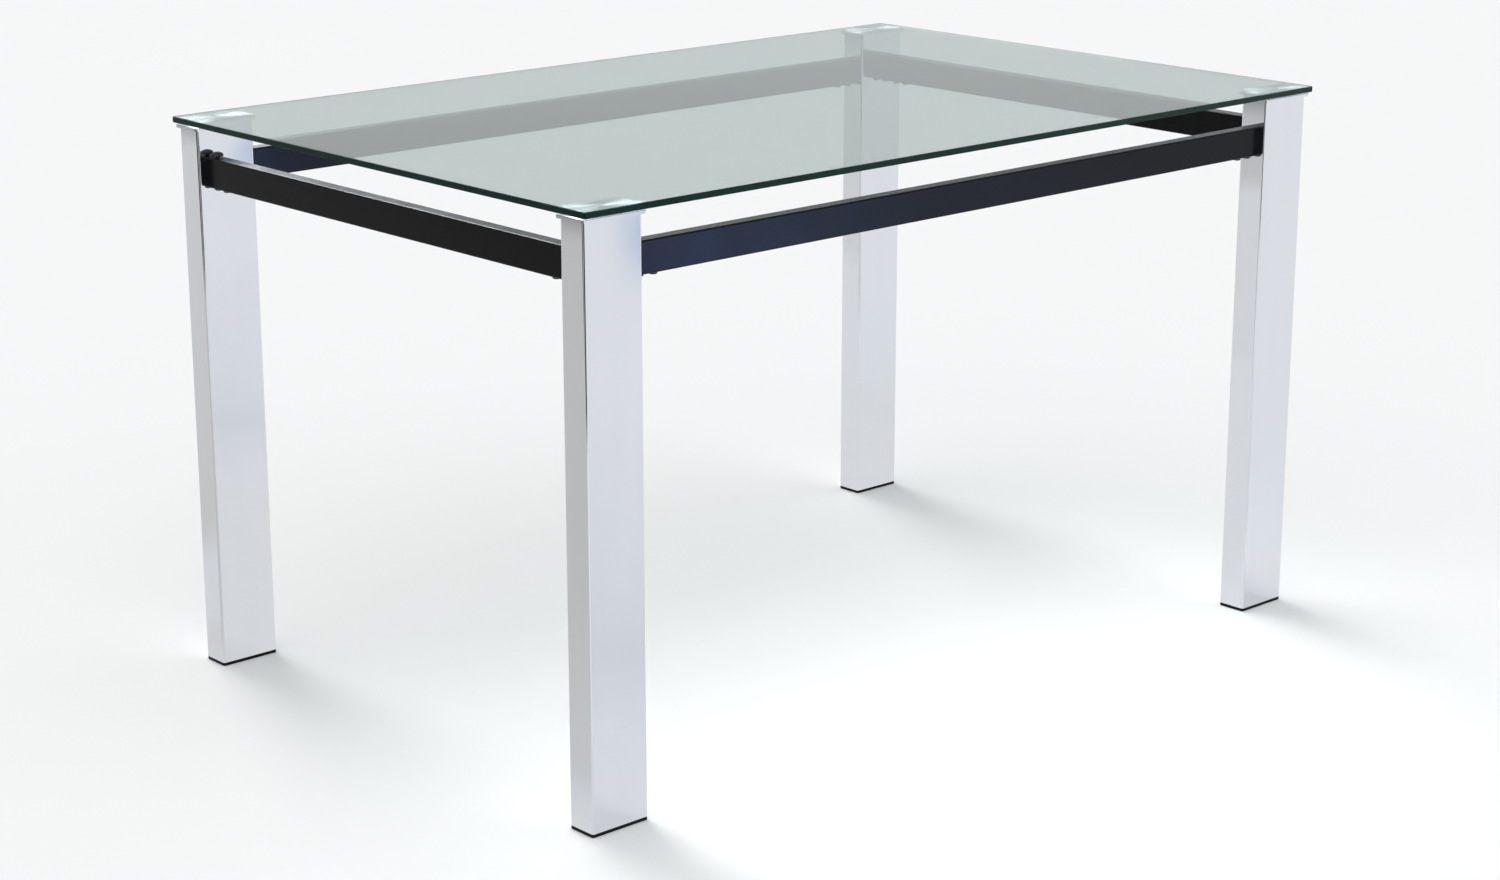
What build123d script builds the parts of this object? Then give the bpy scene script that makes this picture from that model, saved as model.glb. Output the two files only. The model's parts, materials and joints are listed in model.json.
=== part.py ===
from build123d import *
from math import atan2, cos, degrees, radians, sin
import os

# Glass dining table on four chromed tube legs tied by black rails.
# Millimetres. Origin on the floor under the middle of the pane.
# X runs along the long side, Y from the front to the back, Z up.

# Overall size
TABLE_LENGTH = 1300.0
TABLE_WIDTH = 850.0
TABLE_HEIGHT = 750.0

# Glass pane
GLASS_THICKNESS = 8.0
GLASS_CORNER_RADIUS = 2.5
GLASS_ARRIS = 0.8

# Legs: chromed rectangular tube
LEG_BREADTH = 85.0
LEG_DEPTH = 42.0
LEG_WALL = 1.2
LEG_EDGE_RADIUS = 3.0
LEG_INSET_X = 5.5
LEG_INSET_Y = 9.0

# Leg caps: plate with a hollow plug that sits in the tube
CAP_THICKNESS = 4.0
CAP_OVERHANG = 4.0
CAP_CORNER_RADIUS = 3.0
CAP_EDGE_BREAK = 0.6
CAP_PLUG_DEPTH = 14.0
CAP_PLUG_WALL = 2.0
CAP_PLUG_CLEARANCE = 0.3

# Clear pads between the leg caps and the glass
PAD_THICKNESS = 2.0
PAD_MARGIN = 2.0

# Foot caps: lip under the tube, hollow plug with gripping fins inside it
FOOT_LIP = 4.5
FOOT_EDGE_BREAK = 0.6
FOOT_PLUG_HEIGHT = 20.0
FOOT_PLUG_WALL = 2.0
FOOT_PLUG_GAP = 1.0
FOOT_FIN_COUNT = 3
FOOT_FIN_HEIGHT = 1.5
FOOT_FIN_CLEARANCE = 0.1

# Rails: black rectangular tube, butted on the inner faces of the legs
RAIL_HEIGHT = 40.0
RAIL_THICKNESS = 20.0
RAIL_WALL = 1.5
RAIL_EDGE_RADIUS = 2.0
RAIL_SETBACK = 11.0
RAIL_TOP_GAP = 41.0

# Rail brackets: folded sheet channel on the leg, inside the end of the rail
BRACKET_SHEET = 2.0
BRACKET_BEND = 2.5
BRACKET_CLEARANCE = 0.3
BRACKET_END_MARGIN = 13.0
BRACKET_TIP_HEIGHT = 14.0
BRACKET_SLOPE_START = 14.0

# Nut strips: tapped flat bar on the floor of each bracket
STRIP_THICKNESS = 5.0
STRIP_CLEARANCE = 0.8
STRIP_END_MARGIN = 8.0

# Rail bolts, two under each rail end
BOLT_DIAMETER = 6.0
BOLT_HEAD_DIAMETER = 11.0
BOLT_HEAD_HEIGHT = 3.5
BOLT_CROWN = 1.2
BOLT_SOCKET = 4.0
BOLT_SOCKET_DEPTH = 2.0
BOLT_TIP = 2.0
FIRST_BOLT = 12.0
BOLT_SPACING = 21.0

# Domed nut on top of one rail end, on a bolt that goes right through
DOME_DIAMETER = 16.0
DOME_HEIGHT = 5.5
DOME_RIM = 1.2
DOME_THREAD = 3.5
DOME_RING_COUNT = 3
DOME_TOP_ANGLE = 75.0

# Bracket screws and the rivet nuts that take them
SCREW_DIAMETER = 5.0
SCREW_HEAD_DIAMETER = 8.5
SCREW_HEAD_HEIGHT = 3.0
SCREW_LENGTH = 12.0
SCREW_TOP_MARGIN = 6.0
SCREW_BOTTOM_MARGIN = 0.5
RIVET_NUT_DIAMETER = 7.0
RIVET_NUT_LENGTH = 11.0
RIVET_BULGE_DIAMETER = 8.5
RIVET_BULGE_LENGTH = 3.0

# Sides of small fasteners and of the holes that take them
ROUND_SIDE_COUNT = 8
HEAD_SIDE_COUNT = 12
HEXAGON_SIDE_COUNT = 6

# Fits shared by all fasteners, on the radius
HOLE_CLEARANCE = 0.3
THREAD_CLEARANCE = 0.05
SMALLEST_RADIUS = 0.3

# Levels, worked out from the sizes above
GLASS_BOTTOM = TABLE_HEIGHT - GLASS_THICKNESS
CAP_TOP = GLASS_BOTTOM - PAD_THICKNESS
LEG_TOP = CAP_TOP - CAP_THICKNESS
RAIL_BOTTOM = GLASS_BOTTOM - RAIL_TOP_GAP - RAIL_HEIGHT

# Plan positions in the corner where X and Y are both positive
LEG_OUTER_X = TABLE_LENGTH / 2 - LEG_INSET_X
LEG_OUTER_Y = TABLE_WIDTH / 2 - LEG_INSET_Y
LEG_INNER_X = LEG_OUTER_X - LEG_BREADTH
LEG_INNER_Y = LEG_OUTER_Y - LEG_DEPTH
LEG_CENTRE_X = LEG_OUTER_X - LEG_BREADTH / 2
LEG_CENTRE_Y = LEG_OUTER_Y - LEG_DEPTH / 2
RAIL_LINE_X = LEG_OUTER_X - RAIL_SETBACK - RAIL_THICKNESS / 2
RAIL_LINE_Y = LEG_OUTER_Y - RAIL_SETBACK - RAIL_THICKNESS / 2

# Heights above the underside of the rail, and places along it from the leg
BRACKET_WIDTH = RAIL_THICKNESS - 2 * RAIL_WALL - 2 * BRACKET_CLEARANCE
BRACKET_TOP = RAIL_HEIGHT - RAIL_WALL - BRACKET_CLEARANCE
BRACKET_FLOOR = RAIL_WALL + BRACKET_SHEET
BOLT_PLACES = [FIRST_BOLT, FIRST_BOLT + BOLT_SPACING]
BRACKET_LENGTH = BOLT_PLACES[-1] + BRACKET_END_MARGIN
STRIP_TOP = BRACKET_FLOOR + STRIP_THICKNESS
BOLT_END = STRIP_TOP + BOLT_TIP
SCREW_LEVELS = [
    BOLT_END + SCREW_BOTTOM_MARGIN + SCREW_HEAD_DIAMETER / 2,
    BRACKET_TOP - SCREW_TOP_MARGIN,
]

# Corners by the signs of X and Y, and the corners that each rail joins
CORNERS = {
    "front_left": (-1, -1),
    "front_right": (1, -1),
    "back_left": (-1, 1),
    "back_right": (1, 1),
}
RAILS = {
    "long_front": {"left": "front_left", "right": "front_right"},
    "long_back": {"left": "back_left", "right": "back_right"},
    "short_left": {"front": "front_left", "back": "back_left"},
    "short_right": {"front": "front_right", "back": "back_right"},
}
DOMED_END = ("short_left", "back")


def inner_radius(radius, wall):
    """Corner radius on the inside of a bent or drawn wall."""
    return max(radius - wall, SMALLEST_RADIUS)


def upright(length, breadth, radius, bottom, top):
    """Block with rounded upright edges, between two levels."""
    return Pos(0, 0, bottom) * extrude(RectangleRounded(length, breadth, radius), top - bottom)


def cut_corner_outline(length, breadth, cut):
    """Rectangle with its four corners cut off straight."""
    return chamfer(Rectangle(length, breadth).vertices(), cut)


def flat_sided(radius, side_count):
    """Regular outline whose sides lie at the radius."""
    return RegularPolygon(radius, side_count, major_radius=False)


def peg(radius, bottom, top, side_count=ROUND_SIDE_COUNT):
    """Upright flat-sided peg between two levels: a shank, a head or the hole for one."""
    return Pos(0, 0, bottom) * extrude(flat_sided(radius, side_count), top - bottom)


def along_rail(shape):
    """Turn an upright shape so that its top points out along the rail, away from the leg."""
    return Rot(0, 90, 0) * shape


def leg_place(corner):
    """Middle of a leg on the floor."""
    side, depth = CORNERS[corner]
    return Pos(side * LEG_CENTRE_X, depth * LEG_CENTRE_Y, 0)


def rail_end(rail, end):
    """Frame of a rail end: origin under the rail on the leg's face, X out along the rail."""
    side, depth = CORNERS[RAILS[rail][end]]
    if rail.startswith("long"):
        place = Pos(side * LEG_INNER_X, depth * RAIL_LINE_Y, RAIL_BOTTOM)
        return place * Rot(0, 0, 0 if side < 0 else 180)
    place = Pos(side * RAIL_LINE_X, depth * LEG_INNER_Y, RAIL_BOTTOM)
    return place * Rot(0, 0, 90 if depth < 0 else -90)


def ends_at(corner):
    """The two rail ends that meet a leg."""
    return [
        (rail, end)
        for rail, ends in RAILS.items()
        for end, end_corner in ends.items()
        if end_corner == corner
    ]


def glass_top():
    """Pane with its top and bottom edges ground to a small arris."""
    pane = upright(TABLE_LENGTH, TABLE_WIDTH, GLASS_CORNER_RADIUS, GLASS_BOTTOM, TABLE_HEIGHT)
    rims = pane.faces().sort_by(Axis.Z)[0].edges() + pane.faces().sort_by(Axis.Z)[-1].edges()
    return chamfer(rims, GLASS_ARRIS)


def tube_core(gap, bottom, top):
    """Space inside the leg tube, less a gap all round."""
    length = LEG_BREADTH - 2 * LEG_WALL - 2 * gap
    breadth = LEG_DEPTH - 2 * LEG_WALL - 2 * gap
    outline = cut_corner_outline(length, breadth, inner_radius(LEG_EDGE_RADIUS, LEG_WALL))
    return Pos(0, 0, bottom) * extrude(outline, top - bottom)


def leg(corner):
    """Open tube with two seats for rivet nuts under each rail bracket."""
    tube = upright(LEG_BREADTH, LEG_DEPTH, LEG_EDGE_RADIUS, FOOT_LIP, LEG_TOP)
    tube = leg_place(corner) * (tube - tube_core(0, FOOT_LIP, LEG_TOP))
    seat_radius = RIVET_NUT_DIAMETER / 2 + THREAD_CLEARANCE
    seat = along_rail(peg(seat_radius, -2 * LEG_WALL, LEG_WALL, HEXAGON_SIDE_COUNT))
    for rail, end in ends_at(corner):
        for level in SCREW_LEVELS:
            tube -= rail_end(rail, end) * Pos(0, 0, level) * seat
    return tube


def tube_plug(gap, wall, bottom, top):
    """Hollow plug that goes into the leg tube, with a gap all round."""
    return tube_core(gap, bottom, top) - tube_core(gap + wall, bottom, top)


def leg_cap(corner):
    """Plate that overhangs the leg, with its plug in the top of the tube."""
    length = LEG_BREADTH + 2 * CAP_OVERHANG
    breadth = LEG_DEPTH + 2 * CAP_OVERHANG
    plate = upright(length, breadth, CAP_CORNER_RADIUS, LEG_TOP, CAP_TOP)
    plate = chamfer(plate.faces().sort_by(Axis.Z)[-1].edges(), CAP_EDGE_BREAK)
    plug = tube_plug(CAP_PLUG_CLEARANCE, CAP_PLUG_WALL, LEG_TOP - CAP_PLUG_DEPTH, LEG_TOP)
    return leg_place(corner) * (plate + plug)


def glass_pad(corner):
    """Clear pad that the pane lies on."""
    length = LEG_BREADTH + 2 * CAP_OVERHANG - 2 * PAD_MARGIN
    breadth = LEG_DEPTH + 2 * CAP_OVERHANG - 2 * PAD_MARGIN
    outline = cut_corner_outline(length, breadth, CAP_CORNER_RADIUS)
    return leg_place(corner) * Pos(0, 0, CAP_TOP) * extrude(outline, PAD_THICKNESS)


def foot_cap(corner):
    """Lip flush with the leg, and a hollow plug whose fins grip the inside of the tube."""
    lip = upright(LEG_BREADTH, LEG_DEPTH, LEG_EDGE_RADIUS, 0, FOOT_LIP)
    lip = chamfer(lip.faces().sort_by(Axis.Z)[0].edges(), FOOT_EDGE_BREAK)
    plug_top = FOOT_LIP + FOOT_PLUG_HEIGHT
    foot = lip + tube_plug(FOOT_PLUG_GAP, FOOT_PLUG_WALL, FOOT_LIP, plug_top)
    fin_pitch = FOOT_PLUG_HEIGHT / (FOOT_FIN_COUNT + 1)
    fin_wall = FOOT_PLUG_WALL + FOOT_PLUG_GAP - FOOT_FIN_CLEARANCE
    for number in range(FOOT_FIN_COUNT):
        bottom = FOOT_LIP + (number + 1) * fin_pitch - FOOT_FIN_HEIGHT / 2
        foot += tube_plug(FOOT_FIN_CLEARANCE, fin_wall, bottom, bottom + FOOT_FIN_HEIGHT)
    return leg_place(corner) * foot


def rail_bar(outline, length):
    """Bar of this section along X, with its underside level where the rail's is."""
    return extrude(Plane.YZ * Pos(0, RAIL_HEIGHT / 2) * outline, length)


def rail_tube(rail):
    """Rail between two legs, drilled from below for its bolts."""
    length = 2 * (LEG_INNER_X if rail.startswith("long") else LEG_INNER_Y)
    outside = RectangleRounded(RAIL_THICKNESS, RAIL_HEIGHT, RAIL_EDGE_RADIUS)
    bore_cut = inner_radius(RAIL_EDGE_RADIUS, RAIL_WALL)
    bore = cut_corner_outline(RAIL_THICKNESS - 2 * RAIL_WALL, RAIL_HEIGHT - 2 * RAIL_WALL, bore_cut)
    first_end = next(iter(RAILS[rail]))
    tube = rail_end(rail, first_end) * (rail_bar(outside, length) - rail_bar(bore, length))
    hole_radius = BOLT_DIAMETER / 2 + HOLE_CLEARANCE
    for end in RAILS[rail]:
        for place in BOLT_PLACES:
            tube -= rail_end(rail, end) * Pos(place, 0, 0) * peg(hole_radius, 0, RAIL_HEIGHT / 2)
    if rail == DOMED_END[0]:
        top_hole = peg(hole_radius, RAIL_HEIGHT / 2, RAIL_HEIGHT)
        tube -= rail_end(*DOMED_END) * Pos(FIRST_BOLT, 0, 0) * top_hole
    return tube


def bracket_section(inset):
    """Outline of the folded channel, open at the top: its outside, or its inside where inset."""
    bottom = RAIL_WALL + inset
    cut = inner_radius(BRACKET_BEND, inset)
    outline = cut_corner_outline(BRACKET_WIDTH - 2 * inset, 2 * (BRACKET_TOP - bottom), cut)
    keep = Pos(0, (bottom + BRACKET_TOP) / 2) * Rectangle(BRACKET_WIDTH, BRACKET_TOP - bottom)
    return Plane.YZ * (Pos(0, BRACKET_TOP) * outline & keep)


def rail_bracket():
    """Channel with a back plate on the leg and side walls that slope down to the tip."""
    channel = extrude(bracket_section(0), BRACKET_LENGTH)
    channel -= Pos(BRACKET_SHEET, 0, 0) * extrude(bracket_section(BRACKET_SHEET), BRACKET_LENGTH)
    slope = Polygon(
        (BRACKET_SLOPE_START, BRACKET_TOP),
        (BRACKET_LENGTH, RAIL_WALL + BRACKET_TIP_HEIGHT),
        (BRACKET_LENGTH, BRACKET_TOP),
        align=None,
    )
    channel -= extrude(Plane.XZ * slope, BRACKET_WIDTH, both=True)
    for place in BOLT_PLACES:
        hole = peg(BOLT_DIAMETER / 2 + HOLE_CLEARANCE, RAIL_WALL, BRACKET_FLOOR)
        channel -= Pos(place, 0, 0) * hole
    for level in SCREW_LEVELS:
        hole = peg(SCREW_DIAMETER / 2 + HOLE_CLEARANCE, 0, BRACKET_SHEET)
        channel -= Pos(0, 0, level) * along_rail(hole)
    return channel


def nut_strip():
    """Tapped bar that the rail bolts pull down on the floor of the bracket."""
    width = BRACKET_WIDTH - 2 * BRACKET_SHEET - 2 * STRIP_CLEARANCE
    length = BOLT_SPACING + 2 * STRIP_END_MARGIN
    middle = FIRST_BOLT + BOLT_SPACING / 2
    strip = Pos(middle, 0, BRACKET_FLOOR) * extrude(Rectangle(length, width), STRIP_THICKNESS)
    for place in BOLT_PLACES:
        hole = peg(BOLT_DIAMETER / 2 + THREAD_CLEARANCE, BRACKET_FLOOR, STRIP_TOP)
        strip -= Pos(place, 0, 0) * hole
    return strip


def rail_bolt(end_level):
    """Bolt from below: low crowned head with a hexagon socket, shank up to a level."""
    head = peg(BOLT_HEAD_DIAMETER / 2, -BOLT_HEAD_HEIGHT, 0, HEAD_SIDE_COUNT)
    head = chamfer(head.faces().sort_by(Axis.Z)[0].edges(), BOLT_CROWN)
    socket_top = BOLT_SOCKET_DEPTH - BOLT_HEAD_HEIGHT
    head -= peg(BOLT_SOCKET / 2, -BOLT_HEAD_HEIGHT, socket_top, HEXAGON_SIDE_COUNT)
    return head + peg(BOLT_DIAMETER / 2, 0, end_level)


def domed_nut():
    """Cap nut with a rim, standing on the rail and closed by a dome of leaning flats."""
    radius = DOME_DIAMETER / 2
    rise = (DOME_HEIGHT - DOME_RIM) / sin(radians(DOME_TOP_ANGLE))
    nut = peg(radius, 0, DOME_RIM, HEAD_SIDE_COUNT)
    for number in range(DOME_RING_COUNT):
        low = radians(DOME_TOP_ANGLE * number / DOME_RING_COUNT)
        high = radians(DOME_TOP_ANGLE * (number + 1) / DOME_RING_COUNT)
        ring_height = rise * (sin(high) - sin(low))
        lean = degrees(atan2(radius * (cos(low) - cos(high)), ring_height))
        ring = extrude(flat_sided(radius * cos(low), HEAD_SIDE_COUNT), ring_height, taper=lean)
        nut += Pos(0, 0, DOME_RIM + rise * sin(low)) * ring
    nut -= peg(BOLT_DIAMETER / 2 + THREAD_CLEARANCE, 0, DOME_THREAD)
    return Pos(FIRST_BOLT, 0, RAIL_HEIGHT) * nut


def bracket_screw():
    """Cheese-head screw from inside the bracket into the leg, along the rail."""
    head = peg(SCREW_HEAD_DIAMETER / 2, BRACKET_SHEET, BRACKET_SHEET + SCREW_HEAD_HEIGHT)
    shank = peg(SCREW_DIAMETER / 2, BRACKET_SHEET - SCREW_LENGTH, BRACKET_SHEET)
    return along_rail(head + shank)


def rivet_nut():
    """Hexagonal sleeve flush with the leg's face, swollen behind the wall to hold there."""
    bulge_end = -LEG_WALL - RIVET_BULGE_LENGTH
    sleeve = peg(RIVET_NUT_DIAMETER / 2, -RIVET_NUT_LENGTH, 0, HEXAGON_SIDE_COUNT)
    sleeve += peg(RIVET_BULGE_DIAMETER / 2, bulge_end, -LEG_WALL, HEXAGON_SIDE_COUNT)
    sleeve -= peg(SCREW_DIAMETER / 2 + THREAD_CLEARANCE, -RIVET_NUT_LENGTH, 0)
    return along_rail(sleeve)


def at_rail_ends(rail, shape):
    """Copies of a shape at both ends of a rail."""
    return [rail_end(rail, end) * shape for end in RAILS[rail]]


def rail_bolts(rail):
    """Bolts of one rail, without the one that carries the domed nut."""
    bolt = rail_bolt(BOLT_END)
    return [
        rail_end(rail, end) * Pos(place, 0, 0) * bolt
        for end in RAILS[rail]
        for place in BOLT_PLACES
        if (rail, end, place) != (*DOMED_END, FIRST_BOLT)
    ]


def at_screw_levels(corner, shape):
    """Copies of a shape at every bracket screw of one leg."""
    return [
        rail_end(rail, end) * Pos(0, 0, level) * shape
        for rail, end in ends_at(corner)
        for level in SCREW_LEVELS
    ]


def all_parts():
    """Every node by name, with the list of its solids."""
    parts = {"glass_top": [glass_top()]}
    for corner in CORNERS:
        parts[f"leg_{corner}"] = [leg(corner)]
        parts[f"leg_cap_{corner}"] = [leg_cap(corner)]
        parts[f"glass_pad_{corner}"] = [glass_pad(corner)]
        parts[f"foot_cap_{corner}"] = [foot_cap(corner)]
        parts[f"bracket_screws_{corner}"] = at_screw_levels(corner, bracket_screw())
        parts[f"rivet_nuts_{corner}"] = at_screw_levels(corner, rivet_nut())
    for rail, ends in RAILS.items():
        parts[f"{rail}_rail"] = [rail_tube(rail)]
        parts[f"{rail}_rail_bolts"] = rail_bolts(rail)
        parts[f"{rail}_nut_strips"] = at_rail_ends(rail, nut_strip())
        for end in ends:
            parts[f"{rail}_bracket_{end}"] = [rail_end(rail, end) * rail_bracket()]
    through_end = RAIL_HEIGHT + DOME_THREAD - THREAD_CLEARANCE
    through_bolt = Pos(FIRST_BOLT, 0, 0) * rail_bolt(through_end)
    parts["through_bolt"] = [rail_end(*DOMED_END) * through_bolt]
    parts["domed_nut"] = [rail_end(*DOMED_END) * domed_nut()]
    return parts


os.makedirs("parts", exist_ok=True)
for name, solids in all_parts().items():
    shape = solids[0] if len(solids) == 1 else Compound(children=solids)
    export_step(shape, f"parts/{name}.step")
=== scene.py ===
import bpy
import json
from math import cos, radians, sin, sqrt
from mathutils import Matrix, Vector

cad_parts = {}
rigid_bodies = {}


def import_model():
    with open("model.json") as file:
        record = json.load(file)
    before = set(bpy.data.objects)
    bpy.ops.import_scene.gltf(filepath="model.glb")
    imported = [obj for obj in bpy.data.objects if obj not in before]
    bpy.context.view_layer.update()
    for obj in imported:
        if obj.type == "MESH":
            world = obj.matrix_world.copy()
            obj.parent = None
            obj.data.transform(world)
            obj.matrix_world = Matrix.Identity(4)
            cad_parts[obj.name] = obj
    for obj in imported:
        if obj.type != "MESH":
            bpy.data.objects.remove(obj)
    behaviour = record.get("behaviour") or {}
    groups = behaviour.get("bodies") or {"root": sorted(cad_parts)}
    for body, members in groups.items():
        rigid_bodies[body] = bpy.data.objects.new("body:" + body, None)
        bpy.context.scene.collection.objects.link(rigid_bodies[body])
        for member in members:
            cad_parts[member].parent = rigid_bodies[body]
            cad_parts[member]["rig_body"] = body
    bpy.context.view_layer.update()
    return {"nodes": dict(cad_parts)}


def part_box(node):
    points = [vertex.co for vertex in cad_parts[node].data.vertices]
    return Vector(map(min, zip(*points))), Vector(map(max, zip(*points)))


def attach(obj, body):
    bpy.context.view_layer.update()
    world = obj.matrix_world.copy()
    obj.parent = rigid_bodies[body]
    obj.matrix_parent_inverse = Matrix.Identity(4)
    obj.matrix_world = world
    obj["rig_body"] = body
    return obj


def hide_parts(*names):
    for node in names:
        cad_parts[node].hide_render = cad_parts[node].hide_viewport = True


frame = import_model()

# Looks of a glass dining table on four chromed legs tied by black rails. Metres, in the part's own frame.

CORNERS = [f"{end}_{side}" for end in ("front", "back") for side in ("left", "right")]
LONG_RAILS = ["long_front", "long_back"]
SHORT_RAILS = ["short_left", "short_right"]
RAILS = LONG_RAILS + SHORT_RAILS

# Rail bolts and domed nut
HEAD_DIAMETER = 0.011
HEAD_HEIGHT = 0.0035
HEAD_CROWN = 0.0022
CROWN_SEGMENTS = 7
SHANK_DIAMETER = 0.006
SHANK_TIP = 0.0006
TIP_SEGMENTS = 2
SOCKET_SIDES = 6
SOCKET_ACROSS_FLATS = 0.004
SOCKET_DEPTH = 0.002
FIRST_BOLT = 0.012
BOLT_SPACING = 0.021
NUT_RIM = 0.0012
ROUND_SIDES = 48
SMOOTH_ANGLE = radians(35)

# When an edge counts as lying at a level, and a face as looking straight up or down
AT_LEVEL = 1e-6
LOOKS_STRAIGHT = 0.9
UP = 1
DOWN = -1

# Even colours
BLACK = (0.0, 0.0, 0.0)
WHITE = (1.0, 1.0, 1.0)

# Chrome, and the turned top face of the leg caps
CHROME_DARK = (0.73, 0.755, 0.80)
CHROME_LIGHT = (0.77, 0.79, 0.83)
CAP_GRAIN = 1.0
CAP_SIDE_ROUGHNESS = 0.04
CAP_ROUGHNESS = 0.47

# Glass
GLASS_IOR = 1.5
GLASS_DEPTH_COLOUR = (0.10, 0.30, 0.28)
GLASS_DEPTH_DENSITY = 58.0
# Glass edge faces: painted dark green in place of the light seen along the glass, and a green tint that
# dims their reflection, a painted shade
EDGE_DARK = (0.002, 0.012, 0.009)
EDGE_LIGHT = (0.006, 0.026, 0.021)
EDGE_GLEAM = (0.10, 0.20, 0.16)

# Camera
LENS = 71.7
CAMERA_AZIMUTH = radians(-42.29)
CAMERA_ELEVATION = radians(15.87)
CAMERA_DISTANCE = 4.119
CAMERA_AIM = Vector((-0.026, -0.010, 0.283))

# Studio
FLOOR_SIZE = 80.0
FAR_LAMP_DISTANCE = 5.0
# Studio cards: glowing sheets that only mirrors see, painted reflections and painted shade for the chrome,
# the paint and the glass
CARD_UNIT = 1.0
REFLECTION_GLOW = 1.04
REFLECTION_COVER = 0.99
REFLECTION_TONE_DRIFT = 0.02
FLOOR_REFLECTION_HEIGHT = 0.003
FLOOR_REFLECTION_STEP = 0.0005
UPRIGHT = radians(90)
FACE_UP = radians(180)
SURROUND_LOW = (0.745, 0.785, 0.772)
SURROUND_HIGH_LEFT = (0.92, 0.92, 0.92)
SURROUND_HIGH_RIGHT = (0.22, 0.22, 0.22)

# Where the sight line heads after a mirror: the front left leg's front and side, the front right leg's side
NEAR_FRONT_HEADING = radians(-51.1)
NEAR_SIDE_HEADING = radians(128.9)
RIGHT_SIDE_HEADING = radians(142.2)


# Materials

def new_finish(name, **sockets):
    """A material with one shader, whose even values are set on its own sockets."""
    material = bpy.data.materials.new(name)
    material.use_nodes = True
    tree = material.node_tree
    shader = tree.nodes["Principled BSDF"]
    for socket, value in sockets.items():
        shader.inputs[socket.replace("_", " ")].default_value = value
    return material, tree, shader


def feed(tree, shader, **patterns):
    """Leads patterns into the sockets of the shader."""
    for socket, pattern in patterns.items():
        tree.links.new(pattern, shader.inputs[socket.replace("_", " ")])


def noise(tree, scale, stretch=(1.0, 1.0, 1.0), detail=3.0):
    """Noise in the piece's own place, finer at a larger scale, drawn out along an axis of small stretch."""
    place = tree.nodes.new("ShaderNodeTexCoord")
    turn = tree.nodes.new("ShaderNodeMapping")
    turn.inputs["Scale"].default_value = stretch
    pattern = tree.nodes.new("ShaderNodeTexNoise")
    pattern.inputs["Scale"].default_value = scale
    pattern.inputs["Detail"].default_value = detail
    tree.links.new(place.outputs["Object"], turn.inputs["Vector"])
    tree.links.new(turn.outputs["Vector"], pattern.inputs["Vector"])
    return pattern.outputs["Fac"]


def spread(tree, value, low, high, start=0.3, end=0.7):
    """The value between start and end, spread from low to high."""
    node = tree.nodes.new("ShaderNodeMapRange")
    node.inputs["From Min"].default_value = start
    node.inputs["From Max"].default_value = end
    node.inputs["To Min"].default_value = low
    node.inputs["To Max"].default_value = high
    tree.links.new(value, node.inputs["Value"])
    return node.outputs["Result"]


def tint(tree, value, dark, light):
    """A colour between dark and light, each of them an even colour or a tint."""
    node = tree.nodes.new("ShaderNodeMix")
    node.data_type = "RGBA"
    tree.links.new(value, node.inputs["Factor"])
    for colour, socket in ((dark, node.inputs["A"]), (light, node.inputs["B"])):
        if isinstance(colour, bpy.types.NodeSocket):
            tree.links.new(colour, socket)
        else:
            socket.default_value = (*colour, 1.0)
    return node.outputs["Result"]


def axes(tree, vector):
    """The X, Y and Z of a vector."""
    node = tree.nodes.new("ShaderNodeSeparateXYZ")
    tree.links.new(vector, node.inputs["Vector"])
    return node.outputs


def reckon(tree, operation, *values):
    """The result of a sum on one value or two."""
    node = tree.nodes.new("ShaderNodeMath")
    node.operation = operation
    for value, socket in zip(values, node.inputs):
        tree.links.new(value, socket)
    return node.outputs["Value"]


def mottle(tree, shader, pattern, dark, light, smooth, rough):
    """Lets the colour and the roughness of a finish drift with a pattern."""
    colour = tint(tree, pattern, dark, light)
    feed(tree, shader, Base_Color=colour, Roughness=spread(tree, pattern, smooth, rough))


def relief(tree, shader, height, strength, distance):
    """Fine relief on the surface, from a height pattern."""
    node = tree.nodes.new("ShaderNodeBump")
    node.inputs["Strength"].default_value = strength
    node.inputs["Distance"].default_value = distance
    tree.links.new(height, node.inputs["Height"])
    feed(tree, shader, Normal=node.outputs["Normal"])


def chrome():
    """Bright chrome on steel tube: a mirror with faint polishing haze along the tube and slight waves."""
    material, tree, shader = new_finish("bright_chrome", Metallic=1.0)
    haze = noise(tree, scale=26.0, stretch=(1.0, 1.0, 0.12), detail=5.0)
    mottle(tree, shader, haze, CHROME_DARK, CHROME_LIGHT, smooth=0.025, rough=0.06)
    wave = noise(tree, scale=9.0, stretch=(1.0, 1.0, 0.25), detail=1.0)
    relief(tree, shader, wave, strength=0.035, distance=0.002)
    return material


def cap_rings(tree):
    """The way out from the middle of the cap that a place is on. The sign of the place tells which cap."""
    low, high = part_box("leg_cap_back_right")
    place = tree.nodes.new("ShaderNodeTexCoord")
    corner = tree.nodes.new("ShaderNodeVectorMath")
    corner.operation = "SIGN"
    from_middle = tree.nodes.new("ShaderNodeVectorMath")
    from_middle.operation = "MULTIPLY_ADD"
    from_middle.inputs[1].default_value = -(low + high) / 2
    tree.links.new(place.outputs["Object"], corner.inputs[0])
    tree.links.new(corner.outputs["Vector"], from_middle.inputs[0])
    tree.links.new(place.outputs["Object"], from_middle.inputs[2])
    return from_middle.outputs["Vector"]


def turned_chrome():
    """Chrome with a top face that is turned in rings round the middle of the cap."""
    material, tree, shader = new_finish("turned_chrome", Metallic=1.0, Anisotropic=CAP_GRAIN)
    facing = tree.nodes.new("ShaderNodeNewGeometry")
    upwards = axes(tree, facing.outputs["Normal"])["Z"]
    haze = noise(tree, scale=60.0, detail=4.0)
    feed(
        tree, shader,
        Tangent=cap_rings(tree),
        Base_Color=tint(tree, haze, CHROME_DARK, CHROME_LIGHT),
        Roughness=spread(tree, upwards, CAP_SIDE_ROUGHNESS, CAP_ROUGHNESS, start=0.9, end=0.99))
    return material


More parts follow.
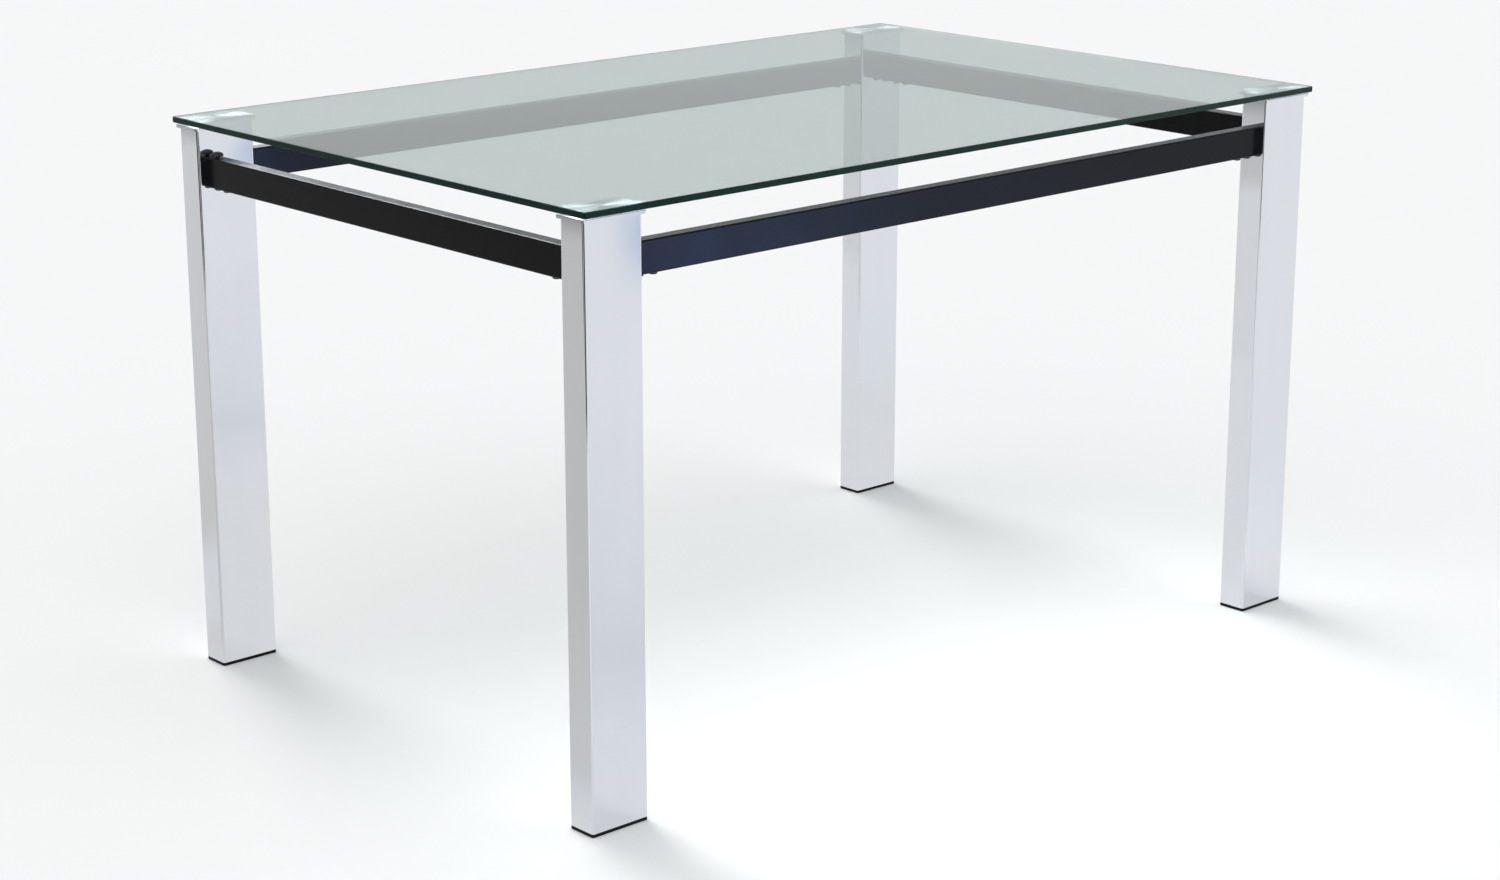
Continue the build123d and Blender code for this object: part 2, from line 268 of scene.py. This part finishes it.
def clear_glass():
    """Polished float glass, faintly green through its thickness. Its edge faces let no light through and
    are painted dark green in place of the light seen along the glass, with their reflection tinted green
    and dimmed as painted shade.
    """
    material, tree, shader = new_finish("clear_float_glass", IOR=GLASS_IOR)
    facing = tree.nodes.new("ShaderNodeNewGeometry")
    level = reckon(tree, "ABSOLUTE", axes(tree, facing.outputs["True Normal"])["Z"])
    broad = spread(tree, level, 0.0, 1.0, start=0.4, end=0.6)
    streak = noise(tree, scale=30.0, stretch=(1.0, 1.0, 8.0), detail=3.0)
    # The edge faces are painted dark green and their reflection tinted and dimmed: painted shade in place
    # of light seen along the glass
    edge = tint(tree, streak, EDGE_DARK, EDGE_LIGHT)
    wiped = noise(tree, scale=5.0, stretch=(1.0, 2.4, 1.0), detail=6.0)
    feed(
        tree, shader,
        Transmission_Weight=broad,
        Base_Color=tint(tree, broad, edge, WHITE),
        Specular_Tint=tint(tree, broad, EDGE_GLEAM, WHITE),
        Roughness=spread(tree, wiped, 0.0, 0.012))
    depth = tree.nodes.new("ShaderNodeVolumeAbsorption")
    depth.inputs["Color"].default_value = (*GLASS_DEPTH_COLOUR, 1.0)
    depth.inputs["Density"].default_value = GLASS_DEPTH_DENSITY
    tree.links.new(depth.outputs["Volume"], tree.nodes["Material Output"].inputs["Volume"])
    return material


def black_paint():
    """Satin black stoved paint with a fine orange peel."""
    material, tree, shader = new_finish("satin_black_paint", Specular_IOR_Level=0.12)
    cloud = noise(tree, scale=14.0, detail=4.0)
    mottle(
        tree, shader, cloud, dark=(0.002, 0.002, 0.0024), light=(0.004, 0.004, 0.0047),
        smooth=0.19, rough=0.27)
    relief(tree, shader, noise(tree, scale=900.0, detail=2.0), strength=0.06, distance=0.0002)
    return material


def moulded_plastic():
    """Black moulded plastic with an even fine grain."""
    material, tree, shader = new_finish("moulded_black_plastic", Specular_IOR_Level=0.15)
    cloud = noise(tree, scale=40.0, detail=3.0)
    mottle(
        tree, shader, cloud, dark=(0.0015, 0.0015, 0.0017), light=(0.0035, 0.0035, 0.0038),
        smooth=0.48, rough=0.62)
    relief(tree, shader, noise(tree, scale=2200.0, detail=1.0), strength=0.25, distance=0.0002)
    return material


def clear_pad():
    """Soft clear vinyl, a little milky."""
    material, tree, shader = new_finish("clear_vinyl_pad", Alpha=0.12, Specular_IOR_Level=0.5)
    cloud = noise(tree, scale=120.0, detail=3.0)
    mottle(
        tree, shader, cloud, dark=(0.80, 0.83, 0.83), light=(0.92, 0.94, 0.94),
        smooth=0.22, rough=0.36)
    return material


def blackened_steel():
    """Black oxide on steel fasteners, with a dull sheen."""
    material, tree, shader = new_finish("blackened_steel", Metallic=0.75)
    cloud = noise(tree, scale=420.0, detail=4.0)
    mottle(
        tree, shader, cloud, dark=(0.022, 0.022, 0.025), light=(0.05, 0.05, 0.056),
        smooth=0.28, rough=0.46)
    return material


def polished_black():
    """Polished black plate of the domed nut."""
    material, tree, shader = new_finish("polished_black_plate", Metallic=0.85)
    cloud = noise(tree, scale=300.0, detail=3.0)
    mottle(
        tree, shader, cloud, dark=(0.030, 0.032, 0.042), light=(0.055, 0.058, 0.072),
        smooth=0.08, rough=0.16)
    return material


def plated_steel():
    """Zinc plate on the hidden brackets and fasteners."""
    material, tree, shader = new_finish("zinc_plated_steel", Metallic=1.0)
    cloud = noise(tree, scale=90.0, detail=6.0)
    mottle(
        tree, shader, cloud, dark=(0.52, 0.53, 0.55), light=(0.68, 0.69, 0.70),
        smooth=0.25, rough=0.42)
    return material


def pale_floor():
    """Matt pale studio floor."""
    material, tree, shader = new_finish("pale_studio_floor", Specular_IOR_Level=0.0)
    cloud = noise(tree, scale=0.6, detail=4.0)
    mottle(
        tree, shader, cloud, dark=(0.885, 0.885, 0.885), light=(0.905, 0.905, 0.905),
        smooth=0.85, rough=0.95)
    return material


def painted_reflection_finish(name, shade, soft, glow):
    """A glowing studio card, a painted reflection that only mirrors see, evenly bright with a faint drift,
    thinning out over a soft rim.
    """
    # Black and glowing by itself: a painted reflection, not a cloth lit by the lamps
    material, tree, shader = new_finish(
        f"{name}_cloth", Base_Color=(*BLACK, 1.0), Specular_IOR_Level=0.0, Emission_Strength=glow)
    cloud = noise(tree, scale=30.0, detail=2.0)
    reflection_tone = tint(tree, cloud, (1 - REFLECTION_TONE_DRIFT) * Vector(shade), (1 + REFLECTION_TONE_DRIFT) * Vector(shade))
    place = tree.nodes.new("ShaderNodeTexCoord")
    across = axes(tree, place.outputs["Object"])
    rim_at = CARD_UNIT / 2
    covers = []
    for axis, rim in zip("XY", soft):
        away = reckon(tree, "ABSOLUTE", across[axis])
        covers.append(spread(tree, away, REFLECTION_COVER, 0.0, start=rim_at - rim, end=rim_at))
    feed(tree, shader, Emission_Color=reflection_tone, Alpha=reckon(tree, "MULTIPLY", *covers))
    return material


def dress_nodes():
    """Gives every piece of the frame its finish, by the slot that the record names for it."""
    finishes = {
        "clear_glass": clear_glass(),
        "chrome": chrome(),
        "black_paint": black_paint(),
        "black_plastic": moulded_plastic(),
        "clear_pad": clear_pad(),
        "black_steel": blackened_steel(),
        "plated_steel": plated_steel(),
    }
    for node in frame["nodes"].values():
        for slot in node.material_slots:
            slot.material = finishes[slot.material.name.split(".")[0]]
    frame["nodes"]["glass_top"].visible_shadow = False
    caps = turned_chrome()
    for corner in CORNERS:
        frame["nodes"][f"leg_cap_{corner}"].material_slots[0].material = caps
    return finishes


# Modelling

def select_only(*pieces):
    """Selects these pieces and nothing else, with the first of them active."""
    bpy.ops.object.select_all(action="DESELECT")
    for piece in reversed(pieces):
        piece.select_set(True)
        bpy.context.view_layer.objects.active = piece


def clear_picks(kind):
    """No face or edge of the active piece selected, and faces or edges ready to be."""
    bpy.ops.object.mode_set(mode="EDIT")
    bpy.ops.mesh.select_mode(type=kind)
    bpy.ops.mesh.select_all(action="DESELECT")
    bpy.ops.object.mode_set(mode="OBJECT")


def pick_rim(piece, level):
    """In edit mode, selects the edges of the piece that lie at a level."""
    clear_picks("EDGE")
    points = piece.data.vertices
    for edge in piece.data.edges:
        edge.select = all(abs(points[end].co.z - level) < AT_LEVEL for end in edge.vertices)
    bpy.ops.object.mode_set(mode="EDIT")


def pick_flat(piece, way):
    """In edit mode, selects the faces of the piece that look straight up or down."""
    clear_picks("FACE")
    for face in piece.data.polygons:
        face.select = way * face.normal.z > LOOKS_STRAIGHT
    bpy.ops.object.mode_set(mode="EDIT")


def settle(piece, name):
    """Ends a piece: its place in the mesh, smooth round walls, its name."""
    select_only(piece)
    bpy.ops.object.transform_apply(location=True, rotation=True, scale=True)
    bpy.ops.object.shade_smooth_by_angle(angle=SMOOTH_ANGLE)
    piece.name = name
    piece.data.name = name
    return piece


def cut_socket(bolt):
    """Cuts the hexagon socket into the outer face of a bolt's head."""
    select_only()
    bpy.ops.mesh.primitive_cylinder_add(
        vertices=SOCKET_SIDES, radius=SOCKET_ACROSS_FLATS / sqrt(3), depth=2 * SOCKET_DEPTH,
        location=(0, 0, -HEAD_HEIGHT))
    cutter = bpy.context.object
    select_only(bolt)
    cut = bolt.modifiers.new("socket", "BOOLEAN")
    cut.operation = "DIFFERENCE"
    cut.solver = "EXACT"
    cut.object = cutter
    bpy.ops.object.modifier_apply(modifier=cut.name)
    bpy.data.objects.remove(cutter)


def round_bolt(length):
    """A button-head bolt with its head below the origin and its shank standing up from it."""
    select_only()
    bpy.ops.mesh.primitive_cylinder_add(
        vertices=ROUND_SIDES, radius=HEAD_DIAMETER / 2, depth=HEAD_HEIGHT,
        location=(0, 0, -HEAD_HEIGHT / 2))
    bolt = bpy.context.object
    bpy.ops.object.transform_apply(location=True)
    pick_rim(bolt, -HEAD_HEIGHT)
    bpy.ops.mesh.bevel(offset=HEAD_CROWN, segments=CROWN_SEGMENTS, profile=0.5, affect="EDGES")
    pick_flat(bolt, UP)
    bpy.ops.mesh.inset(thickness=(HEAD_DIAMETER - SHANK_DIAMETER) / 2)
    bpy.ops.mesh.extrude_region_move(TRANSFORM_OT_translate={"value": (0, 0, length)})
    pick_rim(bolt, length)
    bpy.ops.mesh.bevel(offset=SHANK_TIP, segments=TIP_SEGMENTS, affect="EDGES")
    bpy.ops.object.mode_set(mode="OBJECT")
    cut_socket(bolt)
    return bolt


def domed_nut(diameter, height):
    """A round domed nut that stands on the origin."""
    select_only()
    bpy.ops.mesh.primitive_uv_sphere_add(
        segments=ROUND_SIDES, ring_count=ROUND_SIDES // 2, radius=diameter / 2)
    nut = bpy.context.object
    bpy.ops.object.mode_set(mode="EDIT")
    bpy.ops.mesh.select_all(action="SELECT")
    bpy.ops.mesh.bisect(plane_co=(0, 0, 0), plane_no=(0, 0, 1), clear_inner=True, use_fill=True)
    bpy.ops.mesh.select_all(action="SELECT")
    bpy.ops.transform.resize(value=(1, 1, (height - NUT_RIM) / (diameter / 2)))
    pick_flat(nut, DOWN)
    bpy.ops.mesh.extrude_region_move(TRANSFORM_OT_translate={"value": (0, 0, -NUT_RIM)})
    bpy.ops.mesh.select_all(action="SELECT")
    bpy.ops.transform.translate(value=(0, 0, NUT_RIM))
    bpy.ops.mesh.normals_make_consistent(inside=False)
    bpy.ops.object.mode_set(mode="OBJECT")
    return nut


def copy_to(model, place):
    """A copy of a modelled piece, with its own mesh, at a place."""
    piece = model.copy()
    piece.data = model.data.copy()
    bpy.context.scene.collection.objects.link(piece)
    piece.location = place
    return piece


def joined(pieces, name):
    """Several copies as one piece of separate solids."""
    select_only(*pieces)
    bpy.ops.object.transform_apply(location=True)
    bpy.ops.object.join()
    return settle(pieces[0], name)


def stand_for(piece, node, finish):
    """Puts a detailed piece in the place of a node, on its body."""
    piece.data.materials.clear()
    piece.data.materials.append(finish)
    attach(piece, frame["nodes"][node]["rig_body"])
    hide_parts(node)


def bolt_places(rail):
    """Where the bolts stand under a rail, two from each of its ends, without the long bolt."""
    low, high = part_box(f"{rail}_rail")
    along = 0 if rail in LONG_RAILS else 1
    through_low, through_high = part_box("through_bolt")
    through = (through_low + through_high) / 2
    for end, inward in ((low, 1), (high, -1)):
        for reach in (FIRST_BOLT, FIRST_BOLT + BOLT_SPACING):
            place = (low + high) / 2
            place[along] = end[along] + inward * reach
            place.z = low.z
            if (place.xy - through.xy).length > HEAD_DIAMETER:
                yield place


def fasten_rails(finish):
    """Round bolts under every rail, and the long bolt with its domed nut."""
    low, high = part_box("long_front_rail_bolts")
    model = round_bolt(high.z - low.z - HEAD_HEIGHT)
    for rail in RAILS:
        bolts = [copy_to(model, place) for place in bolt_places(rail)]
        stand_for(joined(bolts, f"{rail}_round_bolts"), f"{rail}_rail_bolts", finish)
    bpy.data.objects.remove(model)
    low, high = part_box("through_bolt")
    middle = (low + high) / 2
    bolt = round_bolt(high.z - low.z - HEAD_HEIGHT)
    bolt.location = (middle.x, middle.y, low.z + HEAD_HEIGHT)
    stand_for(settle(bolt, "long_round_bolt"), "through_bolt", finish)
    low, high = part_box("domed_nut")
    nut = domed_nut(high.x - low.x, high.z - low.z)
    nut.location = (middle.x, middle.y, low.z)
    stand_for(settle(nut, "round_domed_nut"), "domed_nut", polished_black())


# Studio

def studio_floor():
    """One wide sheet under the feet."""
    select_only()
    bpy.ops.mesh.primitive_plane_add(size=FLOOR_SIZE)
    floor = bpy.context.object
    floor.name = "studio_floor"
    floor.data.materials.append(pale_floor())


def studio_world():
    """A pale surround, even low down and darker high up on the right."""
    world = bpy.data.worlds.new("studio_surround")
    world.use_nodes = True
    tree = world.node_tree
    place = tree.nodes.new("ShaderNodeTexCoord")
    parts = axes(tree, place.outputs["Generated"])
    across = spread(tree, parts["X"], 0.0, 1.0, start=0.1, end=0.6)
    high = tint(tree, across, SURROUND_HIGH_LEFT, SURROUND_HIGH_RIGHT)
    height = spread(tree, parts["Z"], 0.0, 1.0, start=0.25, end=0.5)
    sky = tint(tree, height, SURROUND_LOW, high)
    tree.links.new(sky, tree.nodes["Background"].inputs["Color"])
    bpy.context.scene.world = world


def far_softbox(name, towards, breadth, strength, colour):
    """A soft lamp so far off that it lights the whole floor evenly, seen over an angle of breadth."""
    select_only()
    bpy.ops.object.light_add(type="SUN", location=FAR_LAMP_DISTANCE * Vector(towards).normalized())
    lamp = bpy.context.object
    lamp.name = name
    lamp.data.angle = breadth
    lamp.data.energy = strength
    lamp.data.color = colour
    lamp.rotation_euler = (-Vector(towards)).to_track_quat("-Z", "Y").to_euler()


def rail_softbox(name, place, size, turn, strength, colour):
    """A soft lamp that is flagged off from all but the rails."""
    select_only()
    bpy.ops.object.light_add(type="AREA", location=place, rotation=turn)
    lamp = bpy.context.object
    lamp.name = name
    lamp.data.shape = "RECTANGLE"
    lamp.data.size, lamp.data.size_y = size
    lamp.data.energy = strength
    lamp.data.color = colour
    lamp.visible_camera = False
    lit = bpy.data.collections.new(f"{name}_lit")
    for rail in RAILS:
        lit.objects.link(frame["nodes"][f"{rail}_rail"])
    lamp.light_linking.receiver_collection = lit


def card(name, place, size, turn, shade, soft, glow=REFLECTION_GLOW):
    """A glowing studio card that only mirrors see, a painted reflection, fading out at its rim by soft
    shares of its size.
    """
    select_only()
    bpy.ops.mesh.primitive_plane_add(size=CARD_UNIT, location=place, rotation=turn)
    sheet = bpy.context.object
    sheet.name = name
    sheet.scale = (*size, 1.0)
    sheet.data.materials.append(painted_reflection_finish(name, shade, soft, glow))
    for sight in ("camera", "diffuse", "transmission", "shadow", "volume_scatter"):
        setattr(sheet, f"visible_{sight}", False)


def floor_reflection(name, layer, middle, size, turn, shade, soft):
    """A painted reflection card that lies on the floor, a higher layer over a lower one."""
    height = FLOOR_REFLECTION_HEIGHT + layer * FLOOR_REFLECTION_STEP
    card(name, (*middle, height), size, (0, 0, turn), shade, soft)


def light_studio():
    """Lamps for the floor and the rails, and glowing cards that only mirrors see: painted reflections,
    shade and glints for the chrome to mirror.
    """
    far_softbox(
        "front_right_softbox", towards=(0.50, -0.55, 0.75), breadth=radians(60),
        strength=0.45, colour=(0.78, 0.90, 1.0))
    far_softbox(
        "back_softbox", towards=(0.12, 0.68, 0.72), breadth=radians(24),
        strength=0.95, colour=(1.0, 0.99, 0.97))
    # Painted dark reflection: a dark sheet that only mirrors see, the dark line down the chrome legs' edges
    card(
        "dark_reflection_card", place=(-1.83, -1.48, 0.30), size=(1.87, 0.60), turn=(UPRIGHT, 0, CAMERA_AZIMUTH),
        shade=(0.02, 0.02, 0.02), soft=(0.15, 0.12))
    # Painted grey reflection, darker than the floor, in the legs' left side faces
    floor_reflection(
        "grey_floor_cloth", layer=0, middle=(-4.10, 1.255), size=(7.0, 8.0), turn=NEAR_SIDE_HEADING,
        shade=(0.61, 0.60, 0.575), soft=(0.03, 0.2925))
    # Painted dark reflection: a dark upright sheet off to the left that only mirrors see
    card(
        "dark_side_reflection", place=(-2.75, 2.0, 0.40), size=(5.0, 0.8), turn=(UPRIGHT, 0, radians(90)),
        shade=(0.03, 0.03, 0.03), soft=(0.15, 0.15))
    rail_softbox(
        "blue_rail_softbox", place=(1.6, -2.9, 0.02), size=(2.2, 1.6), turn=(FACE_UP, 0, 0),
        strength=28.0, colour=(0.30, 0.47, 1.0))
    rail_softbox(
        "near_rail_softbox", place=(0.82, -1.93, 0.26), size=(0.45, 0.6),
        turn=(radians(102), 0, radians(40.5)), strength=3.2, colour=(0.24, 0.43, 1.0))
    # Painted shade: a floor reflection a little darker than the floor, low on the near legs' front faces
    floor_reflection(
        "pale_floor_cloth", layer=1, middle=(-0.145, -0.824), size=(3.0, 1.6), turn=NEAR_FRONT_HEADING,
        shade=(0.76, 0.77, 0.79), soft=(0.5, 0.3))
    # Painted blue-grey shade at the top right of the near legs' front faces
    floor_reflection(
        "blue_grey_floor_cloth", layer=2, middle=(1.635, -2.920), size=(1.2, 0.27), turn=NEAR_FRONT_HEADING,
        shade=(0.54, 0.63, 0.82), soft=(0.4, 0.3))
    # Painted pale reflection, a strip of bright floor in the front right leg's side face
    floor_reflection(
        "white_floor_reflection_strip", layer=4, middle=(-1.30, 1.04), size=(1.95, 0.24), turn=RIGHT_SIDE_HEADING,
        shade=(0.80, 0.80, 0.80), soft=(0.12, 0.33))
    # Painted light: bright floor in the reflections under the table, where the real floor lies in the
    # table's shade
    floor_reflection(
        "white_floor_cloth", layer=3, middle=(0.15, 0.975), size=(1.84, 3.25), turn=0,
        shade=(0.84, 0.84, 0.84), soft=(0.11, 0.14))
    # A glowing card, no lamp, that only mirrors see: painted glints on the turned tops of the leg caps
    card(
        "cap_light", place=(-0.30, 3.84, 5.36), size=(1.8, 1.2), turn=(radians(140), 0, 0),
        shade=WHITE, soft=(0.1, 0.1), glow=52.0)
    rail_softbox(
        "back_rail_softbox", place=(1.2, 4.2, 3.9), size=(1.2, 3.0),
        turn=(radians(-53), 0, radians(-16)), strength=1300.0, colour=(0.92, 0.96, 1.0))


def photo_camera():
    """The camera at the photograph's viewing angle."""
    select_only()
    bpy.ops.object.camera_add()
    camera = bpy.context.object
    camera.name = "photo_camera"
    camera.data.lens = LENS
    back = Vector((
        sin(CAMERA_AZIMUTH) * cos(CAMERA_ELEVATION),
        -cos(CAMERA_AZIMUTH) * cos(CAMERA_ELEVATION),
        sin(CAMERA_ELEVATION)))
    camera.location = CAMERA_AIM + CAMERA_DISTANCE * back
    camera.rotation_euler = (-back).to_track_quat("-Z", "Y").to_euler()
    bpy.context.scene.camera = camera
    bpy.context.scene.view_settings.view_transform = "Standard"


finishes = dress_nodes()
fasten_rails(finishes["black_steel"])
studio_floor()
studio_world()
light_studio()
photo_camera()
